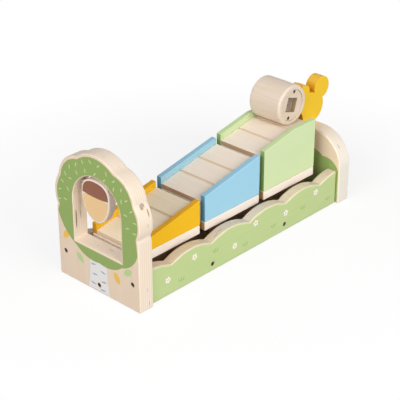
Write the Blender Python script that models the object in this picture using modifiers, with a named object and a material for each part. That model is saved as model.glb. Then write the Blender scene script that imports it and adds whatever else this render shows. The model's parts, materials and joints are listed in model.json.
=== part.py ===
"""Wooden ball run for toddlers: a tray with a tree gate, and three lift-out ramps that a roller runs down.

Metres, +Z up. X runs along the tray from the tree panel to the rear panel, and Y across it.
The origin is on the floor under the middle of the whole toy.
"""

import math

import bmesh
import bpy
from mathutils import Matrix, Vector

MM = 0.001
TOY_NAME = "ball_run"

# Gaps between pieces
SEAT_GAP = 0.3 * MM
RUNNING_GAP = 0.4 * MM
POCKET_GAP = 0.6 * MM
WELD_DISTANCE = 0.001 * MM
FLAT_ANGLE = math.radians(0.2)
CUT_OVERRUN = 4 * MM

# Smoothness of round shapes
ARC_STEP = math.radians(7.5)
TURN_STEPS = 48
SCREW_STEPS = 12
EDGE_SEGMENTS = 2
EDGE_ANGLE = math.radians(40)

# End panels
PANEL_THICKNESS = 20 * MM
PANEL_WIDTH = 127 * MM
PANEL_EDGE = 1.6 * MM
REAR_HEIGHT = 89.3 * MM
REAR_CORNER = 42 * MM

# Tree panel: a body with a lobed crown round an arched window
CROWN_CENTRE = 97.2 * MM
CROWN_CREST = 68.8 * MM
CROWN_SIDE_CREST = 66.3 * MM
CROWN_NOTCH = 65.4 * MM
CROWN_NOTCH_ANGLES = [-8, 27, 64, 116, 153, 188]
CROWN_SHOULDER = 5 * MM
WINDOW_WIDTH = 73.6 * MM
WINDOW_SILL = 52.2 * MM
WINDOW_TOP = 139.5 * MM

# Acorn flap and the pin it swings on
PIN_RADIUS = 3 * MM
PIN_DROP = 15.5 * MM
PIN_SOCKET = 15 * MM
PIN_INSET = 0.8 * MM
ACORN_THICKNESS = 10 * MM
ACORN_WIDTH = 43.5 * MM
ACORN_OFFSET = 6 * MM
ACORN_RISE = 8.6 * MM
ACORN_SHOULDER = 10 * MM
ACORN_NUT = 31.6 * MM
ACORN_CAP_POWER = 2.5
ACORN_EDGE = 1.2 * MM

# Hedge rails
RAIL_INSET = 4 * MM
RAIL_THICKNESS = 13.5 * MM
RAIL_CUSP = 37 * MM
RAIL_CROWN = 44.4 * MM
RAIL_LOBES = 5
RAIL_EDGE = 2 * MM

# Bottom board and the pockets in it
BOARD_LIFT = 4 * MM
BOARD_THICKNESS = 11 * MM
POCKET_DEPTH = 8.5 * MM

# Ramps: a base plate on a shaped foot, two painted sides, a planked deck and closed ends
RAMP_LENGTH = 93 * MM
RAMP_WIDTH = 75.5 * MM
RAMP_GAP = 7.9 * MM
RAMP_FRONT_ROOM = 7 * MM
RAMP_REAR_ROOM = 18.2 * MM
RAMP_SLOPE = math.radians(11)
LANDING_LENGTH = 38.8 * MM
SIDE_THICKNESS = 7 * MM
SIDE_EDGE = 0.8 * MM
BASE_THICKNESS = 11 * MM
BASE_EDGE = 1.2 * MM
DECK_DROP = 7.6 * MM
DECK_THICKNESS = 5.4 * MM
DECK_PLANKS = 3
GROOVE_WIDTH = 3.4 * MM
GROOVE_DEPTH = 1.6 * MM
END_THICKNESS = 7 * MM
FOOT_HEIGHT = 31.3 * MM
FOOT_RADIUS = 23 * MM

# Roller: a drum with a square hole along it and a screwed disc let into each end
DRUM_RADIUS = 25.2 * MM
DRUM_LENGTH = 47 * MM
DRUM_OFFSET = 6.5 * MM
DRUM_STOP_GAP = 1.6 * MM
DRUM_RIM = 3 * MM
DISC_RADIUS = 19.4 * MM
DISC_THICKNESS = 6 * MM
DISC_RECESS = 1.5 * MM
DISC_HOLE = 17.6 * MM
DISC_HOLE_TILT = math.radians(-17.5)

# Squirrel on the rear panel: circles (centre along X from the panel's middle, centre above it, radius)
SQUIRREL_THICKNESS = 14.4 * MM
SQUIRREL_EDGE = 1.4 * MM
SQUIRREL_FOOT_FRONT = 12 * MM
CHEST_END = math.radians(217)
HAUNCH = (4.6 * MM, 19.5 * MM, 20 * MM)
TAIL = (20.5 * MM, 40.5 * MM, 14 * MM)
CHEST = (-3 * MM, 24 * MM, 16 * MM)
HEAD = (-12 * MM, 43 * MM, 9 * MM)
EAR = (-15 * MM, 51 * MM, 2.8 * MM)
DOWEL_RADIUS = 3 * MM
DOWEL_LENGTH = 24 * MM
DOWEL_SPACING = 9 * MM

# Screws
SCREW_HEAD = 2.7 * MM
SCREW_SHANK = 1.6 * MM
SCREW_RIM = 0.5 * MM
SCREW_SINK = 0.4 * MM
SCREW_BITE = 18 * MM
SCREW_POINT = 3 * MM
RAIL_SCREW_HEIGHT = 32 * MM
RAIL_SCREW_SPACING = 125 * MM
DISC_SCREW_HEAD = 2 * MM
DISC_SCREW_SHANK = 1.1 * MM
DISC_SCREW_BITE = 8 * MM
DISC_SCREW_INSET = 3 * MM
DISC_SCREW_COUNT = 2

# Colours, sRGB
NATURAL = "E8D5BE"
PLY = "EAD8C3"
HEDGE_GREEN = "C4D692"
YELLOW = "F6C128"
BLUE = "A3D3E8"
GREEN = "D0E2AC"
ACORN_TAN = "EEC692"
STEEL = "5B4A3C"

# The side of the tray by its sign in Y
SIDE_NAMES = {-1: "near", 1: "far"}

# Each ramp: its colour, the number of sides of its foot, and whether its low end is tall enough for a board
RAMPS = {
    "yellow": {"paint": YELLOW, "foot_sides": TURN_STEPS, "front_board": False},
    "blue": {"paint": BLUE, "foot_sides": 4, "front_board": True},
    "green": {"paint": GREEN, "foot_sides": 3, "front_board": True},
}

# Places along the tray, from the tree panel's front face
RAMP_PITCH = RAMP_LENGTH + RAMP_GAP
FIRST_RAMP = PANEL_THICKNESS + RAMP_FRONT_ROOM
LAST_RAMP_END = FIRST_RAMP + (len(RAMPS) - 1) * RAMP_PITCH + RAMP_LENGTH
REAR_FACE = LAST_RAMP_END + RAMP_REAR_ROOM
TRAY_LENGTH = REAR_FACE + PANEL_THICKNESS
REAR_MIDDLE = REAR_FACE + PANEL_THICKNESS / 2
OVERALL_LENGTH = REAR_MIDDLE + TAIL[0] + TAIL[2]
FRONT = -OVERALL_LENGTH / 2
RAIL_LENGTH = REAR_FACE - PANEL_THICKNESS - 2 * SEAT_GAP

# Heights of the run
BOARD_TOP = BOARD_LIFT + BOARD_THICKNESS
POCKET_FLOOR = BOARD_TOP - POCKET_DEPTH
FOOT_LOW = POCKET_FLOOR + SEAT_GAP
BASE_LOW = FOOT_LOW + FOOT_HEIGHT + SEAT_GAP
BASE_TOP = BASE_LOW + BASE_THICKNESS
SIDE_LOW = BASE_TOP + SEAT_GAP
RUN_START = SIDE_LOW + DECK_DROP + DECK_THICKNESS
LANDING_START = LAST_RAMP_END - LANDING_LENGTH

# The pin, the rails, the roller and the squirrel
PIN_X = FRONT + PANEL_THICKNESS / 2
PIN_HEIGHT = WINDOW_TOP - PIN_DROP
ARCH_CENTRE = WINDOW_TOP - WINDOW_WIDTH / 2
RAIL_SPREAD = PANEL_WIDTH - 2 * RAIL_INSET
RAIL_MIDDLE = RAIL_SPREAD / 2 - RAIL_THICKNESS / 2
BOARD_MIDDLE = BOARD_LIFT + BOARD_THICKNESS / 2
SQUIRREL_FRONT = REAR_MIDDLE + min(HEAD[0] - HEAD[2], CHEST[0] - CHEST[2], EAR[0] - EAR[2])
DRUM_X = SQUIRREL_FRONT - DRUM_STOP_GAP - DRUM_RADIUS
PILOT_BORE = DISC_HOLE / 4
DISC_SCREW_RING = DISC_RADIUS - DISC_SCREW_INSET

parts = None
cutters = None


def clear_scene():
    for old in list(bpy.data.objects):
        bpy.data.objects.remove(old, do_unlink=True)


def new_collection(name):
    made = bpy.data.collections.new(name)
    bpy.context.scene.collection.children.link(made)
    return made


def linear(hex_colour):
    channels = [int(hex_colour[i : i + 2], 16) / 255 for i in (0, 2, 4)]
    return [c / 12.92 if c <= 0.04045 else ((c + 0.055) / 1.055) ** 2.4 for c in channels]


def finish_of(name, colour, roughness=0.55, metallic=0.0):
    made = bpy.data.materials.new(name)
    made.use_nodes = True
    shader = made.node_tree.nodes["Principled BSDF"]
    shader.inputs["Base Color"].default_value = (*linear(colour), 1)
    shader.inputs["Roughness"].default_value = roughness
    shader.inputs["Metallic"].default_value = metallic
    return made


def add_part(name, mesh, place, colour, roughness=0.55, metallic=0.0):
    made = bpy.data.objects.new(name, mesh)
    made.matrix_world = place
    mesh.materials.clear()
    mesh.materials.append(finish_of(name, colour, roughness, metallic))
    mesh.shade_smooth()
    mesh.set_sharp_from_angle(angle=EDGE_ANGLE)
    parts.objects.link(made)
    return made


def add_cutter(name, mesh, place):
    made = bpy.data.objects.new(name, mesh)
    made.matrix_world = place
    made.hide_render = True
    made.display_type = "WIRE"
    cutters.objects.link(made)
    return made


def cut(piece, cutter):
    boolean = piece.modifiers.new(cutter.name, "BOOLEAN")
    boolean.operation = "DIFFERENCE"
    boolean.solver = "EXACT"
    boolean.object = cutter


def round_edges(piece, width):
    bevel = piece.modifiers.new("eased edges", "BEVEL")
    bevel.width = width
    bevel.segments = EDGE_SEGMENTS
    bevel.limit_method = "ANGLE"
    bevel.angle_limit = EDGE_ANGLE
    bevel.use_clamp_overlap = True


def hang_on(empty, pieces):
    bpy.context.view_layer.update()
    for piece in pieces:
        piece.parent = empty
        piece.matrix_parent_inverse = empty.matrix_world.inverted()


def joint_empty(name, place):
    made = bpy.data.objects.new(name, None)
    made.matrix_world = Matrix.Translation(place)
    parts.objects.link(made)
    return made


def across_tray(x, y, z):
    """A board that stands across the tray: its outline is drawn in Y and Z."""
    turn = Matrix(((0, 0, 1), (1, 0, 0), (0, 1, 0))).to_4x4()
    return Matrix.Translation((x, y, z)) @ turn


def along_tray(x, y, z):
    """A board that stands along the tray: its outline is drawn in X and Z."""
    turn = Matrix(((1, 0, 0), (0, 0, -1), (0, 1, 0))).to_4x4()
    return Matrix.Translation((x, y, z)) @ turn


def arc(centre, radius, start, end):
    steps = max(2, math.ceil(abs(end - start) / ARC_STEP))
    angles = [start + (end - start) * i / steps for i in range(steps + 1)]
    return [(centre[0] + radius * math.cos(a), centre[1] + radius * math.sin(a)) for a in angles]


def polar(centre, radius, angle):
    return Vector((centre[0] + radius * math.cos(angle), centre[1] + radius * math.sin(angle)))


def arc_through(start, crest, end):
    """The arc from start to end over a crest that is level with neither."""
    start, crest, end = Vector(start), Vector(crest), Vector(end)
    chord = (end - start).length
    rise = (crest - (start + end) / 2).length
    radius = (chord * chord / 4 + rise * rise) / (2 * rise)
    centre = crest + ((start + end) / 2 - crest).normalized() * radius
    first = math.atan2(start.y - centre.y, start.x - centre.x)
    last = math.atan2(end.y - centre.y, end.x - centre.x)
    sweep = (last - first + math.pi) % (2 * math.pi) - math.pi
    return arc(centre, radius, first, first + sweep)


def crossing(one, two, side):
    """Where two circles cross, to the left (side 1) or right (side -1) of the way from one to two."""
    a, b = Vector(one[:2]), Vector(two[:2])
    way = b - a
    along = (way.length_squared + one[2] ** 2 - two[2] ** 2) / (2 * way.length)
    up = math.sqrt(one[2] ** 2 - along**2)
    unit = way.normalized()
    return a + unit * along + Vector((-unit.y, unit.x)) * up * side


def circle_arc(circle, start, end):
    """The arc of a circle from one of its points to another, anticlockwise."""
    first = math.atan2(start.y - circle[1], start.x - circle[0])
    last = math.atan2(end.y - circle[1], end.x - circle[0])
    return arc(circle[:2], circle[2], first, first + (last - first) % (2 * math.pi))


def outline_mesh(name, loops, thickness):
    """A flat board of these outlines, the first of which is the outer one."""
    curve = bpy.data.curves.new(name, "CURVE")
    curve.dimensions = "2D"
    curve.fill_mode = "BOTH"
    curve.extrude = thickness / 2
    for loop in loops:
        spline = curve.splines.new("POLY")
        spline.points.add(len(loop) - 1)
        spline.use_cyclic_u = True
        for point, (u, v) in zip(spline.points, loop):
            point.co = (u, v, 0, 1)
    shape = bpy.data.objects.new(name, curve)
    cutters.objects.link(shape)
    depsgraph = bpy.context.evaluated_depsgraph_get()
    mesh = bpy.data.meshes.new_from_object(shape.evaluated_get(depsgraph))
    bpy.data.objects.remove(shape)
    bpy.data.curves.remove(curve)
    solid = bmesh.new()
    solid.from_mesh(mesh)
    bmesh.ops.remove_doubles(solid, verts=solid.verts, dist=WELD_DISTANCE)
    bmesh.ops.dissolve_limit(solid, angle_limit=FLAT_ANGLE, verts=solid.verts, edges=solid.edges)
    bmesh.ops.recalc_face_normals(solid, faces=solid.faces)
    solid.to_mesh(mesh)
    solid.free()
    return mesh


def outline_board(name, loops, thickness, place, colour, edge=0.0):
    board = add_part(name, outline_mesh(name, loops, thickness), place, colour)
    if edge:
        round_edges(board, edge)
    return board


def block_mesh(name, size):
    solid = bmesh.new()
    bmesh.ops.create_cube(solid, size=1, matrix=Matrix.Diagonal((*size, 1)))
    mesh = bpy.data.meshes.new(name)
    solid.to_mesh(mesh)
    solid.free()
    return mesh


def prism_mesh(name, sides, radius, height):
    """An upright prism with a face, not a corner, towards the front."""
    solid = bmesh.new()
    turn = Matrix.Rotation(math.pi / sides, 4, "Z")
    bmesh.ops.create_cone(
        solid, cap_ends=True, segments=sides, radius1=radius, radius2=radius, depth=height, matrix=turn
    )
    mesh = bpy.data.meshes.new(name)
    solid.to_mesh(mesh)
    solid.free()
    return mesh


def turned_mesh(name, profile, steps, closed=False):
    """A shape turned about Z from a profile of (radius, height) points that runs from top to bottom."""
    count = len(profile)
    edges = [(i, i + 1) for i in range(count - 1)]
    if closed:
        edges.append((count - 1, 0))
    line = bpy.data.meshes.new(name)
    line.from_pydata([(r, 0, h) for r, h in profile], edges, [])
    shape = bpy.data.objects.new(name, line)
    cutters.objects.link(shape)
    screw = shape.modifiers.new("turn", "SCREW")
    screw.axis = "Z"
    screw.steps = steps
    screw.render_steps = steps
    screw.use_merge_vertices = True
    screw.merge_threshold = WELD_DISTANCE
    depsgraph = bpy.context.evaluated_depsgraph_get()
    mesh = bpy.data.meshes.new_from_object(shape.evaluated_get(depsgraph))
    bpy.data.objects.remove(shape)
    bpy.data.meshes.remove(line)
    solid = bmesh.new()
    solid.from_mesh(mesh)
    bmesh.ops.remove_doubles(solid, verts=solid.verts, dist=WELD_DISTANCE)
    bmesh.ops.recalc_face_normals(solid, faces=solid.faces)
    solid.to_mesh(mesh)
    solid.free()
    return mesh


def group_mesh(name, mesh, places):
    """Copies of one solid as separate bodies of one mesh."""
    solid = bmesh.new()
    for place in places:
        before = len(solid.verts)
        solid.from_mesh(mesh)
        solid.verts.ensure_lookup_table()
        bmesh.ops.transform(solid, matrix=place, verts=solid.verts[before:])
    made = bpy.data.meshes.new(name)
    solid.to_mesh(made)
    solid.free()
    return made


def screw_profile(head, shank, length, gap=0.0, top=0.0):
    """A countersunk screw with its head's face at height 0, or the hole for it."""
    cone = head - shank
    return [
        (0, top),
        (head + gap, top),
        (head + gap, -SCREW_RIM),
        (shank + gap, -SCREW_RIM - cone),
        (shank + gap, -length + SCREW_POINT - gap),
        (0, -length - gap),
    ]


def add_screws(places, head, shank, length, boards):
    """A screw at each named place, which looks along its head, and a hole for it in every board."""
    body = turned_mesh("screw", screw_profile(head, shank, length), SCREW_STEPS)
    hole = turned_mesh("screw_hole", screw_profile(head, shank, length, SEAT_GAP, CUT_OVERRUN), SCREW_STEPS)
    screws = [add_part(name, body.copy(), place, STEEL, 0.4, 0.9) for name, place in places.items()]
    holes = add_cutter("screw_holes", group_mesh("screw_holes", hole, places.values()), Matrix.Identity(4))
    for board in boards:
        cut(board, holes)
    return screws


def pointing(x, y, z, way):
    """The place of a screw whose head looks along a way."""
    return Matrix.Translation((x, y, z)) @ Vector(way).to_track_quat("Z", "Y").to_matrix().to_4x4()


def tree_outline():
    half = PANEL_WIDTH / 2
    centre = (0, CROWN_CENTRE)
    angles = [math.radians(a) for a in CROWN_NOTCH_ANGLES]
    notches = [polar(centre, CROWN_NOTCH, a) for a in angles]
    notches[0].x = half - PANEL_EDGE
    notches[-1].x = -notches[0].x
    points = [(-half, 0), (half, 0), (half, notches[0].y - CROWN_SHOULDER)]
    last = len(angles) - 2
    for i in range(last + 1):
        reach = CROWN_SIDE_CREST if i in (0, last) else CROWN_CREST
        crest = polar(centre, reach, (angles[i] + angles[i + 1]) / 2)
        points += arc_through(notches[i], crest, notches[i + 1])[:-1]
    points.append(tuple(notches[-1]))
    points.append((-half, notches[-1].y - CROWN_SHOULDER))
    return points


def window_outline():
    half = WINDOW_WIDTH / 2
    return [(-half, WINDOW_SILL), (half, WINDOW_SILL)] + arc((0, ARCH_CENTRE), half, 0, math.pi)


def rear_outline():
    half = PANEL_WIDTH / 2
    inner = half - REAR_CORNER
    level = REAR_HEIGHT - REAR_CORNER
    points = [(-half, 0), (half, 0)]
    points += arc((inner, level), REAR_CORNER, 0, math.pi / 2)
    points += arc((-inner, level), REAR_CORNER, math.pi / 2, math.pi)
    return points


def rail_outline():
    """A straight foot and a row of lobes, which starts and ends at a crown."""
    pitch = RAIL_LENGTH / RAIL_LOBES
    rise = RAIL_CROWN - RAIL_CUSP
    radius = (pitch * pitch / 4 + rise * rise) / (2 * rise)
    half_turn = math.asin(pitch / 2 / radius)
    upright = math.pi / 2
    points = [(0, 0), (RAIL_LENGTH, 0)]
    for i in range(RAIL_LOBES + 1):
        centre = (RAIL_LENGTH - i * pitch, RAIL_CROWN - radius)
        start = upright - half_turn if i else upright
        end = upright + half_turn if i < RAIL_LOBES else upright
        points += arc(centre, radius, start, end)[(1 if i else 0) :]
    return points


def acorn_outline():
    """A nut of half an ellipse under a fuller cap, about the pin."""
    half = ACORN_WIDTH / 2
    waist = -ACORN_SHOULDER
    cap = ACORN_RISE + ACORN_SHOULDER
    steps = round(math.pi / ARC_STEP)
    points = []
    for i in range(2 * steps):
        angle = math.pi * i / steps
        c, s = math.cos(angle), math.sin(angle)
        if i <= steps:
            power = 2 / ACORN_CAP_POWER
            points.append((half * math.copysign(abs(c) ** power, c), waist + cap * abs(s) ** power))
        else:
            points.append((half * c, waist + ACORN_NUT * s))
    return points


def squirrel_outline():
    """Overlapping circles for haunch, tail, chest, head and ear, on a straight foot."""
    tail_low = crossing(HAUNCH, TAIL, -1)
    tail_top = crossing(CHEST, TAIL, 1)
    head_back = crossing(CHEST, HEAD, -1)
    head_front = crossing(CHEST, HEAD, 1)
    ear_back = crossing(HEAD, EAR, -1)
    ear_front = crossing(HEAD, EAR, 1)
    heel = Vector((HAUNCH[0] + math.sqrt(HAUNCH[2] ** 2 - HAUNCH[1] ** 2), 0))
    chest_low = polar(CHEST, CHEST[2], CHEST_END)
    points = [(-SQUIRREL_FOOT_FRONT, 0)]
    points += circle_arc(HAUNCH, heel, tail_low)[:-1]
    points += circle_arc(TAIL, tail_low, tail_top)[:-1]
    points += circle_arc(CHEST, tail_top, head_back)[:-1]
    points += circle_arc(HEAD, head_back, ear_back)[:-1]
    points += circle_arc(EAR, ear_back, ear_front)[:-1]
    points += circle_arc(HEAD, ear_front, head_front)[:-1]
    points += circle_arc(CHEST, head_front, chest_low)
    return points


def run_height(x):
    """Height of the ramps' side tops at a place along the tray: one slope, then a level landing."""
    return RUN_START + (min(x, LANDING_START) - FIRST_RAMP) * math.tan(RAMP_SLOPE)


def run_corners(start, end):
    """The places where the run's line turns within one ramp, its two ends among them."""
    return [start] + [x for x in [LANDING_START] if start < x < end] + [end]


def side_outline(start):
    end = start + RAMP_LENGTH
    top = [(x - start, run_height(x)) for x in run_corners(start, end)]
    return [(0, SIDE_LOW), (RAMP_LENGTH, SIDE_LOW)] + top[::-1]


def deck_outline(start):
    """A board under the run's line, with a V groove between planks."""
    end = start + RAMP_LENGTH
    top = [(x, run_height(x)) for x in run_corners(start, end)]
    for i in range(1, DECK_PLANKS):
        middle = start + RAMP_LENGTH * i / DECK_PLANKS
        top += [
            (middle - GROOVE_WIDTH / 2, run_height(middle - GROOVE_WIDTH / 2)),
            (middle, run_height(middle) - GROOVE_DEPTH),
            (middle + GROOVE_WIDTH / 2, run_height(middle + GROOVE_WIDTH / 2)),
        ]
    top.sort()
    low = [(x, run_height(x) - DECK_THICKNESS) for x in run_corners(start, end)]
    return [(x - start, z - DECK_DROP) for x, z in low + top[::-1]]


def end_outline(start, near, far):
    """A board that closes a ramp's end below its deck."""
    top = [(x - start, run_height(x) - DECK_DROP - DECK_THICKNESS - SEAT_GAP) for x in (near, far)]
    return [(near - start, SIDE_LOW), (far - start, SIDE_LOW)] + top[::-1]


def build_tree_panel():
    place = across_tray(FRONT + PANEL_THICKNESS / 2, 0, 0)
    panel = outline_board(
        "tree_panel", [tree_outline(), window_outline()], PANEL_THICKNESS, place, PLY, PANEL_EDGE
    )
    rise = PIN_HEIGHT - CROWN_CENTRE
    near = -math.sqrt(CROWN_NOTCH**2 - rise**2) + PIN_INSET
    far = math.sqrt((WINDOW_WIDTH / 2) ** 2 - (PIN_HEIGHT - ARCH_CENTRE) ** 2) + PIN_SOCKET
    length = far - near
    lay = Matrix.Rotation(math.pi / 2, 4, "X")
    pin_mesh = prism_mesh("acorn_pin", TURN_STEPS // 2, PIN_RADIUS, length)
    pin_place = Matrix.Translation((PIN_X, (near + far) / 2, PIN_HEIGHT)) @ lay
    add_part("acorn_pin", pin_mesh, pin_place, NATURAL)
    hole_near = near - CROWN_CREST
    hole_far = far + SEAT_GAP
    hole_mesh = prism_mesh("pin_hole", TURN_STEPS // 2, PIN_RADIUS + SEAT_GAP, hole_far - hole_near)
    hole_place = Matrix.Translation((PIN_X, (hole_near + hole_far) / 2, PIN_HEIGHT)) @ lay
    cut(panel, add_cutter("pin_hole", hole_mesh, hole_place))
    return panel


def build_acorn():
    place = across_tray(PIN_X, ACORN_OFFSET, PIN_HEIGHT)
    acorn = outline_board("acorn_flap", [acorn_outline()], ACORN_THICKNESS, place, ACORN_TAN, ACORN_EDGE)
    lay = Matrix.Rotation(math.pi / 2, 4, "X")
    bore = prism_mesh("acorn_bore", TURN_STEPS // 2, PIN_RADIUS + RUNNING_GAP, 2 * ACORN_WIDTH)
    bore_place = Matrix.Translation((PIN_X, ACORN_OFFSET, PIN_HEIGHT)) @ lay
    cut(acorn, add_cutter("acorn_bore", bore, bore_place))


def build_squirrel(panel):
    x = FRONT + REAR_MIDDLE
    place = along_tray(x, 0, REAR_HEIGHT + SEAT_GAP)
    squirrel = outline_board(
        "squirrel", [squirrel_outline()], SQUIRREL_THICKNESS, place, YELLOW, SQUIRREL_EDGE
    )
    pin = prism_mesh("dowel", TURN_STEPS // 3, DOWEL_RADIUS, DOWEL_LENGTH)
    hole = prism_mesh("dowel_hole", TURN_STEPS // 3, DOWEL_RADIUS + SEAT_GAP, DOWEL_LENGTH + 2 * SEAT_GAP)
    places = {}
    for name, side in (("front", -1), ("rear", 1)):
        places[name] = Matrix.Translation((x + side * DOWEL_SPACING / 2, 0, REAR_HEIGHT))
        add_part("squirrel_dowel_" + name, pin.copy(), places[name], NATURAL)
    holes = add_cutter("dowel_holes", group_mesh("dowel_holes", hole, places.values()), Matrix.Identity(4))
    cut(squirrel, holes)
    cut(panel, holes)


def build_rails():
    rails = {}
    for side, name in SIDE_NAMES.items():
        place = along_tray(FRONT + PANEL_THICKNESS + SEAT_GAP, side * RAIL_MIDDLE, 0)
        loops = [rail_outline()]
        rails[side] = outline_board("hedge_" + name, loops, RAIL_THICKNESS, place, HEDGE_GREEN, RAIL_EDGE)
    return rails


def build_bottom_board():
    width = RAIL_SPREAD - 2 * RAIL_THICKNESS - 2 * SEAT_GAP
    middle = FRONT + PANEL_THICKNESS + SEAT_GAP + RAIL_LENGTH / 2
    mesh = block_mesh("bottom_board", (RAIL_LENGTH, width, BOARD_THICKNESS))
    board = add_part("bottom_board", mesh, Matrix.Translation((middle, 0, BOARD_MIDDLE)), NATURAL)
    for i, (name, ramp) in enumerate(RAMPS.items()):
        sides = ramp["foot_sides"]
        radius = FOOT_RADIUS + POCKET_GAP / math.cos(math.pi / sides)
        depth = POCKET_DEPTH + CUT_OVERRUN
        pocket = prism_mesh(name + "_pocket", sides, radius, depth)
        place = Matrix.Translation((foot_x(i), 0, POCKET_FLOOR + depth / 2))
        cut(board, add_cutter(name + "_pocket", pocket, place))
    return board


def foot_x(i):
    return FRONT + FIRST_RAMP + i * RAMP_PITCH + RAMP_LENGTH / 2


def screw_the_tray(tree, rear, rails, board):
    length = PANEL_THICKNESS + SCREW_BITE
    seats = {SIDE_NAMES[side]: (side * RAIL_MIDDLE, RAIL_SCREW_HEIGHT) for side in rails}
    seats["bottom"] = (0, BOARD_MIDDLE)
    ends = {
        "tree_screw_": (tree, FRONT + SCREW_SINK, -1),
        "rear_screw_": (rear, FRONT + TRAY_LENGTH - SCREW_SINK, 1),
    }
    for name, (panel, x, way) in ends.items():
        places = {name + seat: pointing(x, y, z, (way, 0, 0)) for seat, (y, z) in seats.items()}
        add_screws(places, SCREW_HEAD, SCREW_SHANK, length, [panel, board, *rails.values()])
    length = RAIL_THICKNESS + SCREW_BITE
    for side, rail in rails.items():
        y = side * (RAIL_SPREAD / 2 - SCREW_SINK)
        places = {}
        for name, way in (("front", -1), ("rear", 1)):
            x = FRONT + TRAY_LENGTH / 2 + way * RAIL_SCREW_SPACING / 2
            places[f"hedge_{SIDE_NAMES[side]}_screw_{name}"] = pointing(x, y, BOARD_MIDDLE, (0, side, 0))
        add_screws(places, SCREW_HEAD, SCREW_SHANK, length, [rail, board])


def build_ramp(i, name, paint, foot_sides, front_board):
    start = FIRST_RAMP + i * RAMP_PITCH
    end = start + RAMP_LENGTH
    x = FRONT + start
    empty = joint_empty(name + "_ramp", (foot_x(i), 0, BASE_LOW))
    base = block_mesh(name + "_base_plate", (RAMP_LENGTH, RAMP_WIDTH, BASE_THICKNESS))
    base_place = Matrix.Translation((foot_x(i), 0, BASE_LOW + BASE_THICKNESS / 2))
    pieces = [add_part(name + "_base_plate", base, base_place, NATURAL)]
    round_edges(pieces[0], BASE_EDGE)
    for side, side_name in SIDE_NAMES.items():
        place = along_tray(x, side * (RAMP_WIDTH - SIDE_THICKNESS) / 2, 0)
        loops = [side_outline(start)]
        board = f"{name}_side_{side_name}"
        pieces.append(outline_board(board, loops, SIDE_THICKNESS, place, paint, SIDE_EDGE))
    inside = RAMP_WIDTH - 2 * SIDE_THICKNESS - 2 * SEAT_GAP
    middle = along_tray(x, 0, 0)
    pieces.append(outline_board(name + "_deck", [deck_outline(start)], inside, middle, NATURAL))
    ends = {"rear": (end - END_THICKNESS, end)}
    if front_board:
        ends["front"] = (start, start + END_THICKNESS)
    for end_name, (near, far) in ends.items():
        loops = [end_outline(start, near, far)]
        pieces.append(outline_board(f"{name}_{end_name}_board", loops, inside, middle, NATURAL))
    foot = prism_mesh(name + "_foot", foot_sides, FOOT_RADIUS, FOOT_HEIGHT)
    foot_place = Matrix.Translation((foot_x(i), 0, FOOT_LOW + FOOT_HEIGHT / 2))
    pieces.append(add_part(name + "_foot", foot, foot_place, NATURAL))
    hang_on(empty, pieces)
    return empty


def drum_profile():
    """The drum, turned: a rounded rim, a rebate for the disc and a pilot bore, on both ends."""
    half = DRUM_LENGTH / 2
    shelf = half - DISC_RECESS - DISC_THICKNESS - SEAT_GAP
    rebate = DISC_RADIUS + SEAT_GAP
    rim = arc((DRUM_RADIUS - DRUM_RIM, half - DRUM_RIM), DRUM_RIM, math.pi / 2, 0)
    top = [(PILOT_BORE, shelf), (rebate, shelf), (rebate, half)] + rim
    return top + [(r, -h) for r, h in reversed(top)]


def build_drum(ramp_empty):
    deck = run_height(LAST_RAMP_END) - DECK_DROP
    axis = Vector((FRONT + DRUM_X, DRUM_OFFSET, deck + SEAT_GAP + DRUM_RADIUS))
    empty = joint_empty("drum", axis)
    lay = Matrix.Rotation(math.pi / 2, 4, "X")
    shell_mesh = turned_mesh("drum_shell", drum_profile(), TURN_STEPS, closed=True)
    shell = add_part("drum_shell", shell_mesh, Matrix.Translation(axis) @ lay, NATURAL)
    pieces = [shell]
    corner = DISC_HOLE / math.sqrt(2)
    square = [tuple(polar((0, 0), corner, DISC_HOLE_TILT + math.pi / 4 + i * math.pi / 2)) for i in range(4)]
    hole = outline_mesh("drum_hole", [square], DRUM_LENGTH)
    cut(shell, add_cutter("drum_hole", hole, along_tray(*axis)))
    rim = arc((0, 0), DISC_RADIUS, 0, 2 * math.pi)[:-1]
    inset = DRUM_LENGTH / 2 - DISC_RECESS
    screw_places = {}
    for side, name in SIDE_NAMES.items():
        y = axis.y + side * (inset - DISC_THICKNESS / 2)
        place = along_tray(axis.x, y, axis.z)
        pieces.append(outline_board("drum_end_" + name, [rim, square], DISC_THICKNESS, place, NATURAL))
        for i in range(DISC_SCREW_COUNT):
            turn = math.pi / 2 + DISC_HOLE_TILT + 2 * math.pi * i / DISC_SCREW_COUNT
            spot = polar((axis.x, axis.z), DISC_SCREW_RING, turn)
            head = axis.y + side * (inset - SCREW_SINK)
            screw_places[f"drum_{name}_screw_{i + 1}"] = pointing(spot.x, head, spot.y, (0, side, 0))
    length = DISC_THICKNESS + DISC_SCREW_BITE
    screws = add_screws(screw_places, DISC_SCREW_HEAD, DISC_SCREW_SHANK, length, pieces)
    hang_on(empty, pieces + screws)
    hang_on(ramp_empty, [empty])


def build_toy():
    tree = build_tree_panel()
    build_acorn()
    rear_place = across_tray(FRONT + REAR_MIDDLE, 0, 0)
    rear = outline_board("rear_panel", [rear_outline()], PANEL_THICKNESS, rear_place, PLY, PANEL_EDGE)
    build_squirrel(rear)
    rails = build_rails()
    board = build_bottom_board()
    screw_the_tray(tree, rear, rails, board)
    ramps = [build_ramp(i, name, **ramp) for i, (name, ramp) in enumerate(RAMPS.items())]
    build_drum(ramps[-1])


clear_scene()
parts = new_collection(TOY_NAME)
cutters = new_collection(TOY_NAME + "_cutters")
build_toy()
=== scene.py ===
"""Looks of the wooden ball run: finishes, prints on the boards, screw heads, studio light and camera.

Metres, +Z up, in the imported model's frame: X from the tree panel to the rear panel, Y across the tray.
"""

import json
import math
import random

import bmesh
import bpy
from mathutils import Matrix, Vector

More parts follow.
